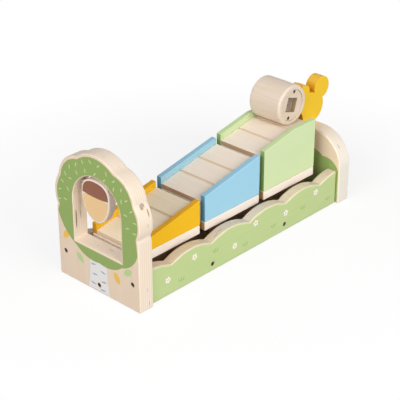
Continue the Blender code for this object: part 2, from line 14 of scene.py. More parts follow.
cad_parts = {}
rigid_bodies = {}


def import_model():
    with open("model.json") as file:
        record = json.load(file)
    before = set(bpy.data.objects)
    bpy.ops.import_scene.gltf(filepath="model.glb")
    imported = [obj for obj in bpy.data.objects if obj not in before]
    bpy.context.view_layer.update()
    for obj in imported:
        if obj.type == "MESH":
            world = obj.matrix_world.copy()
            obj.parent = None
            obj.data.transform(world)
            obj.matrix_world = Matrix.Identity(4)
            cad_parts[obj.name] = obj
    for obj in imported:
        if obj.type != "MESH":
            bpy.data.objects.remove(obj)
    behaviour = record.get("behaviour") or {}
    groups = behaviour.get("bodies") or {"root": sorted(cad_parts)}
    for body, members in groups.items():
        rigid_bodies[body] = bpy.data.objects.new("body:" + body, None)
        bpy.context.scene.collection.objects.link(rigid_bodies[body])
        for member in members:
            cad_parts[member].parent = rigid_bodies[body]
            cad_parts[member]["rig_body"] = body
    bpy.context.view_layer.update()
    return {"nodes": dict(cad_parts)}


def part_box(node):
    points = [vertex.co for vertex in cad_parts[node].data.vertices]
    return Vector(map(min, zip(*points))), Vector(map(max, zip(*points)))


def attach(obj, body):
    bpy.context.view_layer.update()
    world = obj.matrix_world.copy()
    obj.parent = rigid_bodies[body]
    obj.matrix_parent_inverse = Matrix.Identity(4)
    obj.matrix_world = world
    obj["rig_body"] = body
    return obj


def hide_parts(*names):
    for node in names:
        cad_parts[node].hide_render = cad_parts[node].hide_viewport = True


for old in list(bpy.data.objects):
    bpy.data.objects.remove(old)
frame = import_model()
nodes = frame["nodes"]

MM = 0.001
RAMPS = ["yellow", "blue", "green"]
SIDES = ["near", "far"]
ENDS = ["front", "rear"]

# The camera of the photograph: where it stands, where it looks and how long its lens is
CAMERA_PLACE = (-973.3 * MM, -883.7 * MM, 739.1 * MM)
CAMERA_AZIMUTH = math.radians(43.2)
CAMERA_DOWN = math.radians(28.02)
CAMERA_SENSOR = 36
CAMERA_LENS = 114.22

# Shading of the boards
WELD = 0.01 * MM
MERGE = 0.001 * MM
SMOOTH_ANGLE = math.radians(50)
BEVEL_ANGLE = math.radians(35)
FLAT_ANGLE = math.radians(0.5)
SANDED_EDGE = 0.5 * MM
GROOVE_EDGE = 0.25 * MM
DISC_EDGE = 0.3 * MM
SANDED_SEGMENTS = 3

# Patterns of the wood and its coats. Pores, fibres and grit are coarser than real ones, so that they show
GRAIN_LENGTH = 55 * MM
GRAIN_WIDTH = 2.2 * MM
CLOUD_LENGTH = 105 * MM
CLOUD_WIDTH = 35 * MM
CLOUD_STRENGTH = 0.5
PORE_LENGTH = 7 * MM
PORE_WIDTH = 0.9 * MM
PORE_STRENGTH = 0.25
PLY_PAIR = 3.1 * MM
GAP_LENGTH = 16 * MM
GAP_WIDTH = 1.1 * MM
MOTTLE_SIZE = 6 * MM
FIBRE_LENGTH = 4 * MM
FIBRE_WIDTH = 1.2 * MM
GRIT_SIZE = 0.8 * MM

# Between which values of its noise each pattern comes in
EVEN_SPREAD = (0.3, 0.7)
GRAIN_SPREAD = (0.3, 0.72)
PORE_SPREAD = (0.62, 0.74)
GAP_SPREAD = (0.82, 0.84)
MOTTLE_SPREAD = (0.2, 0.9)
INKED_SPREAD = (0.35, 0.75)

# How far the patterns stand up from the wood, and how much of that shows
LACQUER_RELIEF = 0.08 * MM
HEDGE_RELIEF = 0.06 * MM
PAINT_RELIEF = 0.05 * MM
INK_RELIEF = 0.04 * MM
FIBRE_RELIEF = 0.06 * MM
BUMP_SHARE = 0.35

# How far the thin coats change their tone along the grain
PAINT_THINNING = 0.12
INK_THINNING = 0.08

# From which share of facing some way to which a finish comes in, with the axis where it is a sawn place.
# Inner faces, groove walls, hole walls and the sawn ends in the gaps between ramps carry painted shade
PLY_FACE = (0.6, 0.85)
RIM_FACE = (0.2, 0.4)
PAINTED_FACE = (0.94, 0.98)
SPRAYED_FACE = (0.55, 0.9)
SPRAYED_END = (0.75, 0.95)
SHADED_INNER_FACE = (-0.55, -0.9)
SAWN_AND_SHADED_END = ("X", 0.85, 0.95)
GROOVE_WALL = ("X", 0.35, 0.5)
HOLE_WALL = ("Y", 0.4, 0.2)

# Tones that several finishes share
WHITE = "FFFFFF"
PLAIN_BIRCH = ("F6E8D8", "EFDECA")
# The base plates' birch is paler than the plain birch: partly its own tone, partly painted light that lifts
# the plates out of the rails' shade
PLATE_BIRCH = ("FCF1E6", "F7E9DB")
VENEER = ("F3DDC6", "ECD2B7")
BIRCH_PORE = "D9BF9F"
VENEER_PORE = "D8B794"

# Between which heights the panels' edges turn to a darker tone: painted shade, so that their tops look less
# lit
TREE_SHADE_SHOULDER = (100 * MM, 150 * MM)
REAR_SHADE_SHOULDER = (55 * MM, 85 * MM)

# Open places in the tree panel's layers, by the window's jamb and by the crown: middle, half sizes, and a
# dark tone painted for the shade within them
TREE_SLITS = [
    ((-188.4 * MM, 36.8 * MM, 76.5 * MM), (0.9 * MM, 3 * MM, 13 * MM), "7E6A48"),
    ((-177.2 * MM, -63.7 * MM, 117 * MM), (0.9 * MM, 4 * MM, 6 * MM), "A08A6C"),
]

# The tree panel's outline, which its print follows
PANEL_WIDTH = 127 * MM
PANEL_EDGE = 1.6 * MM
CROWN_CENTRE = 97.2 * MM
CROWN_CREST = 68.8 * MM
CROWN_SIDE_CREST = 66.3 * MM
CROWN_NOTCH = 65.4 * MM
CROWN_NOTCH_ANGLES = [math.radians(a) for a in (-8, 27, 64, 116, 153, 188)]
WINDOW_WIDTH = 73.6 * MM
WINDOW_SILL = 52.2 * MM
WINDOW_TOP = 139.5 * MM

# Prints: the film of ink, the bare rims round it, and how far to the right the crown is printed
INK_FILM = 0.03 * MM
PRINT_RIM = 2.1 * MM
CROWN_RIM = 3.6 * MM
WINDOW_RIM = 1.6 * MM
CROWN_ASIDE = 0.5 * MM
ARC_STEP = math.radians(4)

# Crown, trunk and leaves on the tree panel: places in mm with turns in radians, rings in mm with counts
CROWN_FOOT = [(-61.4, 80), (-34, 47), (2, 38), (37, 46), (61.4, 70)]
CROWN_FOOT_BULGE = 4.5 * MM
TICK_RINGS = [(58, 16), (47.5, 11)]
TICK_LENGTH = 6.4 * MM
TICK_WIDTH = 1.8 * MM
TICK_LEAN = 0.9
TICK_SCATTER = 0.03
TICK_SEED = 11
TRUNK_TOP = (13.5 * MM, 46 * MM)
TRUNK_FOOT = (16.5 * MM, 2.1 * MM)
TRUNK_WAIST = 1.5 * MM
BARK_MARKS = [(-8, 33, 0.2), (7, 28, -0.15), (-6, 21, 0.1), (8, 16, 0.2), (-9, 9, -0.1), (6, 5, 0.1)]
BARK_LENGTH = 9 * MM
BARK_WIDTH = 2.2 * MM
YELLOW_LEAVES = [(-50, 54, 0.9), (29, 30, 2.1)]
GREEN_LEAVES = [(46, 44, 0.6), (-29, 33, 2.4)]
LEAF_LENGTH = 15 * MM
LEAF_WIDTH = 8 * MM

# Blossoms and tufts of grass on a rail: places along and up it, in mm
RAIL_FLOWERS = [(-146, 20), (-104, 31), (-38, 17), (-2, 32), (52, 24), (108, 30)]
RAIL_TUFTS = [(-125, 9), (-70, 22), (-20, 9), (30, 13), (84, 16), (132, 10)]
FLOWER_RADIUS = 4.2 * MM
FLOWER_EYE = 1.3 * MM
PETALS = 5
PETAL_STEPS = 12
PETAL_NOTCH = 0.62
BLADE_LENGTH = 6 * MM
BLADE_WIDTH = 1.5 * MM
BLADE_FAN = [-0.55, 0, 0.55]

# The bush on the rear panel: the corners between its lobes from right to left, and what is on it, in mm
BUSH_TOP = [(61.4, 44), (37, 57), (0, 61), (-37, 57), (-61.4, 44)]
BUSH_BULGE = 5 * MM
BUSH_FLOWERS = [(-40, 38), (-14, 20), (17, 44), (43, 25)]
BUSH_TUFTS = [(-50, 12), (-27, 42), (2, 30), (30, 12)]

# The acorn's print
ACORN_WAIST = 114 * MM
ACORN_CAP_POWER = 2.5
ACORN_BORDER = 2 * MM
ACORN_CAP_SAG = 1.6 * MM

# Screws: which way each set looks, and shares of the head's radius where no size is given
HEAD_WAYS = {
    "tree": (-1, 0, 0),
    "rear": (1, 0, 0),
    "hedge_near": (0, -1, 0),
    "hedge_far": (0, 1, 0),
    "drum_near": (0, -1, 0),
    "drum_far": (0, 1, 0),
}
SCREW_STEPS = 28
SCREW_RIM = 0.45 * MM
SCREW_POINT = 3 * MM
HEAD_ROUND = 0.3 * SCREW_RIM
FACE_SHARE = 0.92
SHANK_SHARE = 0.58
CROSS_LENGTH = 1.35
CROSS_WIDTH = 0.32
CROSS_DEPTH = 0.55
CROSS_TAPER = 0.6

# Studio: how bright a white card would look under each lamp, where the lamps hang, and the floor
AMBIENT = 0.33
LAMP_AIM = (0.0, 0.0, 0.07)
LAMPS = {
    "key": {"towards": (-0.1, -0.9, 0.42), "distance": 2.2, "size": 1.3, "level": 0.71},
    "fill": {"towards": (-0.87, -0.16, 0.47), "distance": 2.2, "size": 1.3, "level": 0.56},
}
FLOOR_SIZE = 8.0
FLOOR_GLOW = 0.8
FLOOR_NEAR = 0.26
FLOOR_FAR = 0.46
FLOOR_BOUNCE = "8C8C8C"


def linear(hex_colour):
    """An sRGB hex colour as the linear colour that shaders take."""
    channels = [int(hex_colour[i : i + 2], 16) / 255 for i in (0, 2, 4)]
    return [c / 12.92 if c <= 0.04045 else ((c + 0.055) / 1.055) ** 2.4 for c in channels] + [1.0]


def add(tree, kind, inputs=None, **settings):
    """Adds one node to a tree. Each input takes a value, or the output or the node that feeds it."""
    made = tree.nodes.new(kind)
    for key, value in settings.items():
        setattr(made, key, value)
    for key, value in (inputs or {}).items():
        feed = value.outputs[0] if isinstance(value, bpy.types.Node) else value
        if isinstance(feed, bpy.types.NodeSocket):
            tree.links.new(feed, made.inputs[key])
        else:
            made.inputs[key].default_value = feed
    return made


def new_material(name):
    made = bpy.data.materials.new(name)
    made.use_nodes = True
    made.node_tree.nodes.clear()
    return made, made.node_tree


def give_surface(tree, inputs):
    """Ends a material's tree with its shader and the output."""
    shader = add(tree, "ShaderNodeBsdfPrincipled", inputs)
    add(tree, "ShaderNodeOutputMaterial", {"Surface": shader})


def streaks(tree, axis, along, across, spread=EVEN_SPREAD, strength=1.0, detail=4.0):
    """Noise of one size along an axis of the piece and another across it, from 0 to a strength."""
    sizes = [along if name == axis else across for name in "XYZ"]
    place = add(tree, "ShaderNodeTexCoord").outputs["Object"]
    stretched = add(tree, "ShaderNodeMapping", {"Vector": place, "Scale": [1 / size for size in sizes]})
    noise = add(
        tree,
        "ShaderNodeTexNoise",
        {"Vector": stretched, "Scale": 1.0, "Detail": detail, "Roughness": 0.6},
    )
    low, high = spread
    part = {"Value": noise, "From Min": low, "From Max": high, "To Max": strength}
    return add(tree, "ShaderNodeMapRange", part)


def facing_share(tree, axis, none, full):
    """How squarely a surface faces along an axis of the piece, either way: 0 at none, 1 at full."""
    normal = add(tree, "ShaderNodeTexCoord").outputs["Normal"]
    parts = add(tree, "ShaderNodeSeparateXYZ", {"Vector": normal})
    along = add(tree, "ShaderNodeMath", {0: parts.outputs[axis]}, operation="ABSOLUTE")
    return add(tree, "ShaderNodeMapRange", {"Value": along, "From Min": none, "From Max": full})


def outward_share(tree, none, full):
    """How squarely a surface faces away from the toy's middle line: 0 at none, 1 at full.

    What faces the middle line has a share below zero.
    """
    place = add(tree, "ShaderNodeTexCoord")
    side = add(tree, "ShaderNodeSeparateXYZ", {"Vector": place.outputs["Object"]}).outputs["Y"]
    way = add(tree, "ShaderNodeSeparateXYZ", {"Vector": place.outputs["Normal"]}).outputs["Y"]
    sign = add(tree, "ShaderNodeMath", {0: side}, operation="SIGN")
    outward = add(tree, "ShaderNodeMath", {0: sign, 1: way}, operation="MULTIPLY")
    return add(tree, "ShaderNodeMapRange", {"Value": outward, "From Min": none, "From Max": full})


def grained_colour(tree, axis, pale, dark, pore_tone):
    """Close-grained pale wood: soft streaks, slow clouds of tone, and short darker pores."""
    grain = streaks(tree, axis, GRAIN_LENGTH, GRAIN_WIDTH, GRAIN_SPREAD)
    cloud = streaks(tree, axis, CLOUD_LENGTH, CLOUD_WIDTH, EVEN_SPREAD, CLOUD_STRENGTH, detail=2.0)
    pore = streaks(tree, axis, PORE_LENGTH, PORE_WIDTH, PORE_SPREAD, PORE_STRENGTH, detail=2.0)
    light, deep = linear(pale), linear(dark)
    streaked = add(tree, "ShaderNodeMixRGB", {"Fac": grain, "Color1": light, "Color2": deep})
    clouded = add(tree, "ShaderNodeMixRGB", {"Fac": cloud, "Color1": streaked, "Color2": light})
    pored = add(tree, "ShaderNodeMixRGB", {"Fac": pore, "Color1": clouded, "Color2": linear(pore_tone)})
    return pored, grain


def lacquered_birch(name, axis, pale, dark, sawn=()):
    """Solid birch, planed, sanded and sealed with matt lacquer: creamy, with faint streaks and pores.

    Some places are darker: raw cuts soak up more of the lacquer, and painted shade is added where they lie
    in grooves, holes and the gaps between ramps. Each is a tone, an axis, and from which share of facing
    along that axis to which the tone comes in.
    """
    made, tree = new_material(f"{name}_birch_{axis.lower()}")
    colour, grain = grained_colour(tree, axis, pale, dark, BIRCH_PORE)
    for tone, way, none, full in sawn:
        share = facing_share(tree, way, none, full)
        colour = add(tree, "ShaderNodeMixRGB", {"Fac": share, "Color1": colour, "Color2": linear(tone)})
    rough = add(tree, "ShaderNodeMapRange", {"Value": grain, "To Min": 0.316, "To Max": 0.579})
    raised = {"Height": grain, "Distance": LACQUER_RELIEF, "Strength": BUMP_SHARE}
    normal = add(tree, "ShaderNodeBump", raised)
    give_surface(tree, {"Base Color": colour, "Roughness": rough, "IOR": 1.5, "Normal": normal})
    return made


def ply_edge_colour(tree, across, pale, dark):
    """The sawn edge of plywood: pale and darker layers by turns, with a few core gaps along them, painted
    dark for the shade within them.
    """
    place = add(tree, "ShaderNodeTexCoord").outputs["Object"]
    layers = add(
        tree,
        "ShaderNodeTexWave",
        {"Vector": place, "Scale": math.pi / (10 * PLY_PAIR), "Distortion": 0.5, "Detail": 1.0},
        wave_type="BANDS",
        bands_direction=across,
    ).outputs["Fac"]
    gaps = streaks(tree, across, GAP_WIDTH, GAP_LENGTH, GAP_SPREAD, detail=0.0)
    light, deep = linear(pale), linear(dark)
    striped = add(tree, "ShaderNodeMixRGB", {"Fac": layers, "Color1": light, "Color2": deep})
    # Painted shade: the core gaps are dark brown, for the shade within these open gaps
    return add(tree, "ShaderNodeMixRGB", {"Fac": gaps, "Color1": striped, "Color2": linear("8A6A4C")})


def slit_share(tree, centre, reach):
    """1 within a narrow slit of the given half sizes about its centre, and 0 outside."""
    place = add(tree, "ShaderNodeTexCoord").outputs["Object"]
    slit = {"Vector": place, "Location": centre, "Scale": reach}
    within = add(tree, "ShaderNodeMapping", slit, vector_type="TEXTURE")
    distance = add(tree, "ShaderNodeVectorMath", {0: within}, operation="LENGTH").outputs["Value"]
    return add(tree, "ShaderNodeMapRange", {"Value": distance, "From Min": 1.0, "From Max": 0.75})


def birch_plywood(name, face_tones, edge_tones, shaded_top_tones, shoulder, slits=()):
    """Birch plywood, sanded and matt lacquered: plain veneer on its faces, fine layers along its edges.

    Edges are darker over the shoulder: painted shade, so that the tops look less lit than the sides. Slits
    are open places in a layer, where the sawn edge meets them, with a dark tone painted for the shade
    within.
    """
    made, tree = new_material(name + "_birch_plywood")
    face, grain = grained_colour(tree, "Z", *face_tones, VENEER_PORE)
    place = add(tree, "ShaderNodeTexCoord").outputs["Object"]
    height = add(tree, "ShaderNodeSeparateXYZ", {"Vector": place}).outputs["Z"]
    low, high = shoulder
    over = add(tree, "ShaderNodeMapRange", {"Value": height, "From Min": low, "From Max": high})
    side = ply_edge_colour(tree, "X", *edge_tones)
    # Painted shade on the edges over the shoulder
    top = ply_edge_colour(tree, "X", *shaded_top_tones)
    edge = add(tree, "ShaderNodeMixRGB", {"Fac": over, "Color1": side, "Color2": top})
    for centre, reach, tone in slits:
        # Painted shade within each open slit
        slit = slit_share(tree, centre, reach)
        edge = add(tree, "ShaderNodeMixRGB", {"Fac": slit, "Color1": edge, "Color2": linear(tone)})
    on_face = facing_share(tree, "X", *PLY_FACE)
    colour = add(tree, "ShaderNodeMixRGB", {"Fac": on_face, "Color1": edge, "Color2": face})
    raised = {"Height": grain, "Distance": LACQUER_RELIEF, "Strength": BUMP_SHARE}
    normal = add(tree, "ShaderNodeBump", raised)
    give_surface(tree, {"Base Color": colour, "Roughness": 0.5, "IOR": 1.5, "Normal": normal})
    return made


def hedge_plywood():
    """Plywood rail with flat green paint on its outer face, which stops short of a pale sanded rim."""
    made, tree = new_material("hedge_painted_plywood")
    inner, grain = grained_colour(tree, "X", *VENEER, VENEER_PORE)
    light, deep = linear("C5D795"), linear("BFD18D")
    paint = add(tree, "ShaderNodeMixRGB", {"Fac": grain, "Color1": light, "Color2": deep})
    edge = ply_edge_colour(tree, "Y", "DDD0BB", "D1BFA4")
    on_face = facing_share(tree, "Y", *PLY_FACE)
    bare = add(tree, "ShaderNodeMixRGB", {"Fac": on_face, "Color1": edge, "Color2": inner})
    on_rim = outward_share(tree, *RIM_FACE)
    rimmed = add(tree, "ShaderNodeMixRGB", {"Fac": on_rim, "Color1": bare, "Color2": linear("E0D5B3")})
    painted = outward_share(tree, *PAINTED_FACE)
    colour = add(tree, "ShaderNodeMixRGB", {"Fac": painted, "Color1": rimmed, "Color2": paint})
    raised = {"Height": grain, "Distance": HEDGE_RELIEF, "Strength": BUMP_SHARE}
    normal = add(tree, "ShaderNodeBump", raised)
    give_surface(tree, {"Base Color": colour, "Roughness": 0.5, "IOR": 1.5, "Normal": normal})
    return made


def sprayed_paint(name, face, inner, edge, end):
    """Thin water-based paint on sanded wood: even on outer faces, with painted shade on the inner faces,
    deeper on sawn edges, and on sawn ends partly painted shade.
    """
    made, tree = new_material(name)
    grain = streaks(tree, "X", GRAIN_LENGTH, GRAIN_WIDTH)
    mottle = streaks(tree, "X", MOTTLE_SIZE, MOTTLE_SIZE, MOTTLE_SPREAD, detail=2.0)
    # Ends are deeper: partly end grain that takes more paint, partly painted shade of the gaps between
    # ramps
    on_end = facing_share(tree, "X", *SPRAYED_END)
    sawn = add(tree, "ShaderNodeMixRGB", {"Fac": on_end, "Color1": linear(edge), "Color2": linear(end)})
    # Painted shade: inner faces take a duller tone, for the shade that the near side casts on the far side
    shaded_inside = outward_share(tree, *SHADED_INNER_FACE)
    faces = add(tree, "ShaderNodeMixRGB", {"Fac": shaded_inside, "Color1": linear(face), "Color2": linear(inner)})
    on_face = facing_share(tree, "Y", *SPRAYED_FACE)
    full = add(tree, "ShaderNodeMixRGB", {"Fac": on_face, "Color1": sawn, "Color2": faces})
    thin = add(tree, "ShaderNodeMath", {0: grain, 1: PAINT_THINNING}, operation="MULTIPLY")
    colour = add(tree, "ShaderNodeMixRGB", {"Fac": thin, "Color1": full, "Color2": linear(edge)})
    rough = add(tree, "ShaderNodeMapRange", {"Value": mottle, "To Min": 0.435, "To Max": 0.652})
    raised = {"Height": grain, "Distance": PAINT_RELIEF, "Strength": BUMP_SHARE}
    normal = add(tree, "ShaderNodeBump", raised)
    coat = {"Base Color": colour, "Roughness": rough, "IOR": 1.48, "Specular IOR Level": 0.25}
    give_surface(tree, {**coat, "Normal": normal})
    return made


def screen_ink(name, tone):
    """Flat ink screened on sanded wood: matt, and a touch uneven where the grain takes less of it."""
    made, tree = new_material(name + "_ink")
    grain = streaks(tree, "Z", GRAIN_LENGTH, GRAIN_WIDTH, INKED_SPREAD)
    thin = add(tree, "ShaderNodeMath", {0: grain, 1: INK_THINNING}, operation="MULTIPLY")
    full, bare = linear(tone), linear("F1DBC2")
    colour = add(tree, "ShaderNodeMixRGB", {"Fac": thin, "Color1": full, "Color2": bare})
    raised = {"Height": grain, "Distance": INK_RELIEF, "Strength": BUMP_SHARE}
    normal = add(tree, "ShaderNodeBump", raised)
    coat = {"Base Color": colour, "Roughness": 0.55, "IOR": 1.48, "Specular IOR Level": 0.25}
    give_surface(tree, {**coat, "Normal": normal})
    return made


def fibreboard():
    """Bare brown fibreboard: dull and even, with fine mixed fibres."""
    made, tree = new_material("brown_fibreboard")
    fibre = streaks(tree, "X", FIBRE_LENGTH, FIBRE_WIDTH)
    light, deep = linear("9A7A5A"), linear("86684A")
    colour = add(tree, "ShaderNodeMixRGB", {"Fac": fibre, "Color1": light, "Color2": deep})
    raised = {"Height": fibre, "Distance": FIBRE_RELIEF, "Strength": BUMP_SHARE}
    normal = add(tree, "ShaderNodeBump", raised)
    give_surface(tree, {"Base Color": colour, "Roughness": 0.8, "IOR": 1.45, "Normal": normal})
    return made


def bronzed_zinc():
    """Zinc-plated steel with a brown chromate: dull dark metal with a faint uneven grit."""
    made, tree = new_material("bronzed_zinc_steel")
    grit = streaks(tree, "Z", GRIT_SIZE, GRIT_SIZE, detail=2.0)
    light, deep = linear("6B5747"), linear("4E4036")
    colour = add(tree, "ShaderNodeMixRGB", {"Fac": grit, "Color1": light, "Color2": deep})
    rough = add(tree, "ShaderNodeMapRange", {"Value": grit, "To Min": 0.417, "To Max": 0.625})
    give_surface(tree, {"Base Color": colour, "Roughness": rough, "Metallic": 0.85})
    return made


def welded_boards():
    """Shared by all boards: welds their triangles and shades round stretches smooth between corners."""
    group = bpy.data.node_groups.new("welded_boards", "GeometryNodeTree")
    group.is_modifier = True
    group.interface.new_socket("Geometry", in_out="INPUT", socket_type="NodeSocketGeometry")
    group.interface.new_socket("Geometry", in_out="OUTPUT", socket_type="NodeSocketGeometry")
    start = add(group, "NodeGroupInput")
    merged = add(group, "GeometryNodeMergeByDistance", {"Geometry": start, "Distance": WELD})
    angle = add(group, "GeometryNodeInputMeshEdgeAngle").outputs["Unsigned Angle"]
    corner = add(group, "ShaderNodeMath", {0: angle, 1: SMOOTH_ANGLE}, operation="GREATER_THAN")
    shaded = add(
        group,
        "GeometryNodeSetMeshNormal",
        {"Mesh": merged, "Remove Custom": True, "Edge Sharpness": corner, "Face Sharpness": False},
        mode="SHARPNESS",
    )
    add(group, "NodeGroupOutput", {0: shaded})
    return group


BOARD_SHADING = welded_boards()


def dress(name, material, edge=0.0):
    """Gives a CAD node its finish, and sands its sharp edges where the solid has none."""
    piece = nodes[name]
    piece.material_slots[0].material = material
    weld = piece.modifiers.new("welded", "NODES")
    weld.node_group = BOARD_SHADING
    if edge:
        plain = piece.modifiers.new("plain_faces", "DECIMATE")
        plain.decimate_type = "DISSOLVE"
        plain.angle_limit = FLAT_ANGLE
        bevel = piece.modifiers.new("sanded_edges", "BEVEL")
        bevel.width = edge
        bevel.segments = SANDED_SEGMENTS
        bevel.limit_method = "ANGLE"
        bevel.angle_limit = BEVEL_ANGLE
    even = piece.modifiers.new("even_faces", "WEIGHTED_NORMAL")
    even.keep_sharp = True


def dress_tray(board):
    """The two end panels, the rails and the floor between them, and the squirrel."""
    # The third pair of tones on each panel is painted shade: the edges over the shoulder are darker, so
    # that their tops look less lit
    tree_tones = [VENEER, ("F8E8D6", "F0DBC2"), ("E8D9C8", "E0CDB6")]
    rear_tones = [("F6E0C6", "F1D8B8"), ("F8F1E4", "F0E6D6"), ("EADECF", "E3D3BF")]
    dress("tree_panel", birch_plywood("tree", *tree_tones, TREE_SHADE_SHOULDER, TREE_SLITS))
    dress("rear_panel", birch_plywood("rear", *rear_tones, REAR_SHADE_SHOULDER))
    hedge = hedge_plywood()
    for side in SIDES:
        dress("hedge_" + side, hedge)
    dress("bottom_board", board, SANDED_EDGE)
    dress("squirrel", sprayed_paint("squirrel_paint", "F6C92C", "F6C92C", "F0BC40", "E6A61C"))
    dowel_birch = lacquered_birch("plain", "Z", *PLAIN_BIRCH)
    for end in ENDS:
        dress("squirrel_dowel_" + end, dowel_birch, SANDED_EDGE)


def dress_ramps(board):
    """The three ramps. Deck grooves, and the blue and green ones' sawn fronts in the gaps between ramps,
    carry painted shade; the yellow one's plate and deck, by the window, are paler where they are sawn.
    """
    # Painted shade: the blue and green plates' sawn fronts are dark golden brown, partly raw cut and partly
    # the shade of the gaps between ramps
    plate_birch = lacquered_birch("base_plate", "X", *PLATE_BIRCH, [("CFAA6C", *SAWN_AND_SHADED_END)])
    front_plate_birch = lacquered_birch("front_base_plate", "X", *PLATE_BIRCH)
    # Painted shade: the walls of the deck grooves are darker, for the shade that falls within the grooves
    groove = ("D8C0A2", *GROOVE_WALL)
    # The decks' sawn fronts are darker, partly raw cut and partly painted shade of the gaps between ramps
    deck_cuts_and_shade = [groove, ("C0A07E", *SAWN_AND_SHADED_END)]
    front_deck_cuts_and_shade = [groove, ("DCC8AB", *SAWN_AND_SHADED_END)]
    deck_birch = lacquered_birch("deck", "Y", "F6E8D8", "EEDDC9", deck_cuts_and_shade)
    front_deck_birch = lacquered_birch("warm_deck", "Y", "F8E8CC", "F0DDBA", front_deck_cuts_and_shade)
    end_birch = lacquered_birch("plain", "Y", *PLAIN_BIRCH)
    # Each paint's second tone is painted shade on the inner faces, and its last tone is partly painted
    # shade on the ends
    paints = {
        "yellow": sprayed_paint("yellow_paint", "F7C11C", "E5B31A", "E2A518", "C48A10"),
        "blue": sprayed_paint("blue_paint", "A4D6EC", "9BC4D2", "93C2D8", "6AA3C0"),
        "green": sprayed_paint("green_paint", "D7E8B5", "C5D6A5", "C6DAA3", "8DB56A"),
    }
    for ramp in RAMPS:
        in_front = ramp == "yellow"
        for side in SIDES:
            dress(f"{ramp}_side_{side}", paints[ramp])
        dress(ramp + "_base_plate", front_plate_birch if in_front else plate_birch)
        dress(ramp + "_deck", front_deck_birch if in_front else deck_birch, GROOVE_EDGE)
        # The dark fibreboard on the feet also stands in for the shade in the gap under the base plates
        dress(ramp + "_foot", board, SANDED_EDGE)
        for end in ENDS:
            if f"{ramp}_{end}_board" in nodes:
                dress(f"{ramp}_{end}_board", end_birch, SANDED_EDGE)


def dress_acorn_and_drum():
    # The acorn's birch is paler than the plain birch, partly painted light that lifts it out of the shade
    # of the window it hangs in
    dress("acorn_flap", lacquered_birch("acorn", "Z", "FBEDE2", "F5E3D4"))
    dress("acorn_pin", lacquered_birch("pin", "Y", "C4B2A0", "AE9A86"), SANDED_EDGE)
    dress("drum_shell", lacquered_birch("drum", "Y", "E7D6C4", "DAC6B0"))
    # Painted shade: the walls of each disc's square hole and its rim are darker, on a raw cut, for the
    # shade within the hole and in the seam round the disc
    disc_birch = lacquered_birch("disc", "X", "E3D1BE", "D8C3AC", [("B39A78", *HOLE_WALL)])
    for side in SIDES:
        dress("drum_end_" + side, disc_birch, DISC_EDGE)


def dress_boards():
    board = fibreboard()
    dress_tray(board)
    dress_ramps(board)
    dress_acorn_and_drum()


def put(name, data):
    """A new object in the scene."""
    made = bpy.data.objects.new(name, data)
    bpy.context.scene.collection.objects.link(made)
    return made


def mesh_of(solid, name):
    """A bmesh as a new mesh; the bmesh goes."""
    mesh = bpy.data.meshes.new(name)
    solid.to_mesh(mesh)
    solid.free()
    return mesh


def arc(centre, radius, start, end):
    """Points along an arc, both of its ends included."""
    steps = max(2, math.ceil(abs(end - start) / ARC_STEP))
    angles = [start + (end - start) * i / steps for i in range(steps + 1)]
    return [(centre[0] + radius * math.cos(a), centre[1] + radius * math.sin(a)) for a in angles]


def bulging(start, end, bulge):
    """An arc from one point to another that swells to the right of the way between them."""
    start, end = Vector(start), Vector(end)
    way = end - start
    aside = Vector((way.y, -way.x)).normalized()
    radius = (way.length_squared / 4 + bulge * bulge) / (2 * bulge)
    centre = (start + end) / 2 - aside * (radius - bulge)
    first = math.atan2(start.y - centre.y, start.x - centre.x)
    last = math.atan2(end.y - centre.y, end.x - centre.x)
    return arc(centre, radius, first, first + (last - first) % (2 * math.pi))


def turned(points, centre, angle):
    """Points drawn about the origin, turned and set at a centre."""
    c, s = math.cos(angle), math.sin(angle)
    return [(centre[0] + u * c - v * s, centre[1] + u * s + v * c) for u, v in points]


def leaf(centre, length, width, angle):
    """A leaf or brush tick: two arcs that meet in points."""
    half = length / 2
    points = bulging((-half, 0), (half, 0), width / 2) + bulging((half, 0), (-half, 0), width / 2)[1:-1]
    return turned(points, centre, angle)


def flower(centre, radius, angle):
    """A small blossom of round petals."""
    points = []
    steps = PETAL_STEPS * PETALS
    for i in range(steps):
        turn = 2 * math.pi * i / steps
        reach = radius * (PETAL_NOTCH + (1 - PETAL_NOTCH) * abs(math.cos(PETALS * turn / 2)))
        points.append((reach * math.cos(turn), reach * math.sin(turn)))
    return turned(points, centre, angle)


def facing(place, right):
    """The place of a print on an upright face, drawn with its first axis to the viewer's right."""
    right = Vector(right)
    up = Vector((0, 0, 1))
    return Matrix.Translation(place) @ Matrix((right, up, right.cross(up))).transposed().to_4x4()


def outline_mesh(name, loops, half_depth):
    """Flat outlines, with their holes, as one thin closed mesh."""
    curve = bpy.data.curves.new(name, "CURVE")
    curve.dimensions = "2D"
    curve.fill_mode = "BOTH"
    curve.extrude = half_depth
    for loop in loops:
        spline = curve.splines.new("POLY")
        spline.points.add(len(loop) - 1)
        spline.use_cyclic_u = True
        for point, (u, v) in zip(spline.points, loop):
            point.co = (u, v, 0, 1)
    drawn = put(name, curve)
    mesh = bpy.data.meshes.new_from_object(drawn.evaluated_get(bpy.context.evaluated_depsgraph_get()))
    bpy.data.objects.remove(drawn)
    bpy.data.curves.remove(curve)
    solid = bmesh.new()
    solid.from_mesh(mesh)
    bmesh.ops.remove_doubles(solid, verts=solid.verts, dist=MERGE)
    bmesh.ops.recalc_face_normals(solid, faces=solid.faces)
    solid.to_mesh(mesh)
    solid.free()
    return mesh


def print_on(name, loops, place, body, ink, coats=1):
    """A film of ink on a face, half of it sunk into the wood. Each further coat covers those before it."""
    mesh = outline_mesh(name, loops, coats * INK_FILM)
    mesh.materials.append(ink)
    piece = put(name, mesh)
    piece.matrix_world = place
    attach(piece, body)


